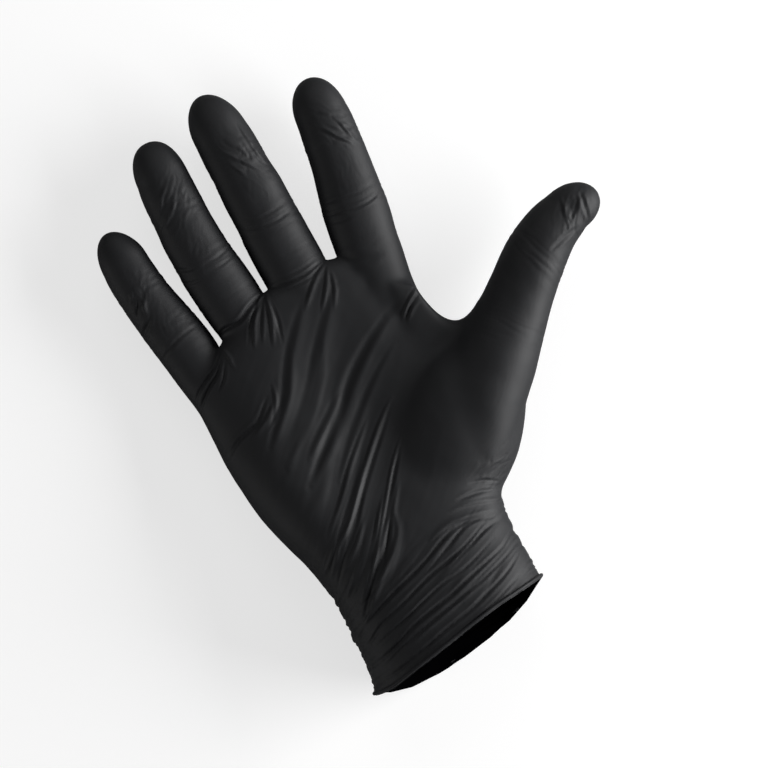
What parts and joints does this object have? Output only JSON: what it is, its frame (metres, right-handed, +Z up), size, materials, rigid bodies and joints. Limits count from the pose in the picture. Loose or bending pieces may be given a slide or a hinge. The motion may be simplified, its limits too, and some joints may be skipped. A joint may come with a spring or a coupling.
{
  "type": "disposable glove",
  "caption": "Thin black nitrile glove for the right hand in its worn shape, open at a short cuff with a rolled bead; fingers, thumb and wrist bend.",
  "frame": {"origin": "on the table under the middle of the glove's bounding box, with the glove lying on its back", "axes": "+Y from the cuff to the fingertips, +X to the thumb's side, +Z up out of the palm"},
  "size_m": [0.185, 0.2444, 0.0489],
  "materials": {
    "nitrile": "satin, thin dipped film with fine creases"
  },
  "bodies": {
    "palm": {"palm_face": "nitrile", "hand_back": "nitrile", "wrist_fold": "nitrile", "index_root_fold": "nitrile", "middle_root_fold": "nitrile", "ring_root_fold": "nitrile", "little_root_fold": "nitrile", "thumb_root_fold": "nitrile"},
    "cuff": {"cuff_sleeve": "nitrile", "rolled_bead": "nitrile"},
    "index_proximal_body": {"index_proximal": "nitrile", "index_middle_fold": "nitrile"},
    "index_middle_body": {"index_middle": "nitrile", "index_end_fold": "nitrile"},
    "index_tip_body": {"index_tip": "nitrile"},
    "middle_proximal_body": {"middle_proximal": "nitrile", "middle_middle_fold": "nitrile"},
    "middle_middle_body": {"middle_middle": "nitrile", "middle_end_fold": "nitrile"},
    "middle_tip_body": {"middle_tip": "nitrile"},
    "ring_proximal_body": {"ring_proximal": "nitrile", "ring_middle_fold": "nitrile"},
    "ring_middle_body": {"ring_middle": "nitrile", "ring_end_fold": "nitrile"},
    "ring_tip_body": {"ring_tip": "nitrile"},
    "little_proximal_body": {"little_proximal": "nitrile", "little_middle_fold": "nitrile"},
    "little_middle_body": {"little_middle": "nitrile", "little_end_fold": "nitrile"},
    "little_tip_body": {"little_tip": "nitrile"},
    "thumb_proximal_body": {"thumb_proximal": "nitrile", "thumb_end_fold": "nitrile"},
    "thumb_tip_body": {"thumb_tip": "nitrile"}
  },
  "joints": [
    {"name": "wrist_bend", "type": "hinge", "parent": "palm", "child": "cuff", "pos_m": [-0.0351, -0.07337, 0.023], "axis": [-1, 0, 0], "range_deg": [-40, 45], "deforming": ["wrist_fold"]},
    {"name": "index_root_bend", "type": "hinge", "parent": "palm", "child": "index_proximal_body", "pos_m": [0.0041, 0.04263, 0.014], "axis": [0.9884, -0.152, 0], "range_deg": [-15, 60], "deforming": ["index_root_fold"]},
    {"name": "index_middle_bend", "type": "hinge", "parent": "index_proximal_body", "child": "index_middle_body", "pos_m": [0.0071, 0.05963, 0.0155], "axis": [0.986, -0.1667, 0], "range_deg": [-5, 75], "deforming": ["index_middle_fold"]},
    {"name": "index_end_bend", "type": "hinge", "parent": "index_middle_body", "child": "index_tip_body", "pos_m": [0.0109, 0.08313, 0.017], "axis": [0.9911, -0.1334, 0], "range_deg": [-3, 45], "deforming": ["index_end_fold"]},
    {"name": "middle_root_bend", "type": "hinge", "parent": "palm", "child": "middle_proximal_body", "pos_m": [-0.0256, 0.05063, 0.014], "axis": [1, 0.0072, 0], "range_deg": [-15, 60], "deforming": ["middle_root_fold"]},
    {"name": "middle_middle_bend", "type": "hinge", "parent": "middle_proximal_body", "child": "middle_middle_body", "pos_m": [-0.0258, 0.06763, 0.016], "axis": [1, 0.0079, 0], "range_deg": [-5, 75], "deforming": ["middle_middle_fold"]},
    {"name": "middle_end_bend", "type": "hinge", "parent": "middle_middle_body", "child": "middle_tip_body", "pos_m": [-0.0259, 0.09213, 0.018], "axis": [0.9998, 0.022, 0], "range_deg": [-3, 45], "deforming": ["middle_end_fold"]},
    {"name": "ring_root_bend", "type": "hinge", "parent": "palm", "child": "ring_proximal_body", "pos_m": [-0.0535, 0.04613, 0.014], "axis": [0.9985, 0.0546, 0], "range_deg": [-15, 60], "deforming": ["ring_root_fold"]},
    {"name": "ring_middle_bend", "type": "hinge", "parent": "ring_proximal_body", "child": "ring_middle_body", "pos_m": [-0.0548, 0.06413, 0.0155], "axis": [0.9989, 0.0469, 0], "range_deg": [-5, 75], "deforming": ["ring_middle_fold"]},
    {"name": "ring_end_bend", "type": "hinge", "parent": "ring_middle_body", "child": "ring_tip_body", "pos_m": [-0.0553, 0.08713, 0.017], "axis": [0.9999, -0.0166, 0], "range_deg": [-3, 45], "deforming": ["ring_end_fold"]},
    {"name": "little_root_bend", "type": "hinge", "parent": "palm", "child": "little_proximal_body", "pos_m": [-0.0763, 0.03313, 0.013], "axis": [0.9913, 0.1316, 0], "range_deg": [-15, 60], "deforming": ["little_root_fold"]},
    {"name": "little_middle_bend", "type": "hinge", "parent": "little_proximal_body", "child": "little_middle_body", "pos_m": [-0.0789, 0.04813, 0.014], "axis": [0.9867, 0.1622, 0], "range_deg": [-5, 75], "deforming": ["little_middle_fold"]},
    {"name": "little_end_bend", "type": "hinge", "parent": "little_middle_body", "child": "little_tip_body", "pos_m": [-0.0817, 0.06613, 0.015], "axis": [0.9925, 0.1225, 0], "range_deg": [-3, 45], "deforming": ["little_end_fold"]},
    {"name": "thumb_root_bend", "type": "hinge", "parent": "palm", "child": "thumb_proximal_body", "pos_m": [0.0364, -0.01337, 0.023], "axis": [0.5915, -0.6478, 0.4801], "range_deg": [-10, 50], "deforming": ["thumb_root_fold"]},
    {"name": "thumb_end_bend", "type": "hinge", "parent": "thumb_proximal_body", "child": "thumb_tip_body", "pos_m": [0.0594, 0.00613, 0.023], "axis": [0.4341, -0.7674, 0.4718], "range_deg": [-10, 65], "deforming": ["thumb_end_fold"]}
  ],
  "couplings": [
    {"joint": "index_end_bend", "follows": "index_middle_bend", "ratio": 0.6},
    {"joint": "middle_end_bend", "follows": "middle_middle_bend", "ratio": 0.6},
    {"joint": "ring_end_bend", "follows": "ring_middle_bend", "ratio": 0.6},
    {"joint": "little_end_bend", "follows": "little_middle_bend", "ratio": 0.6}
  ]
}
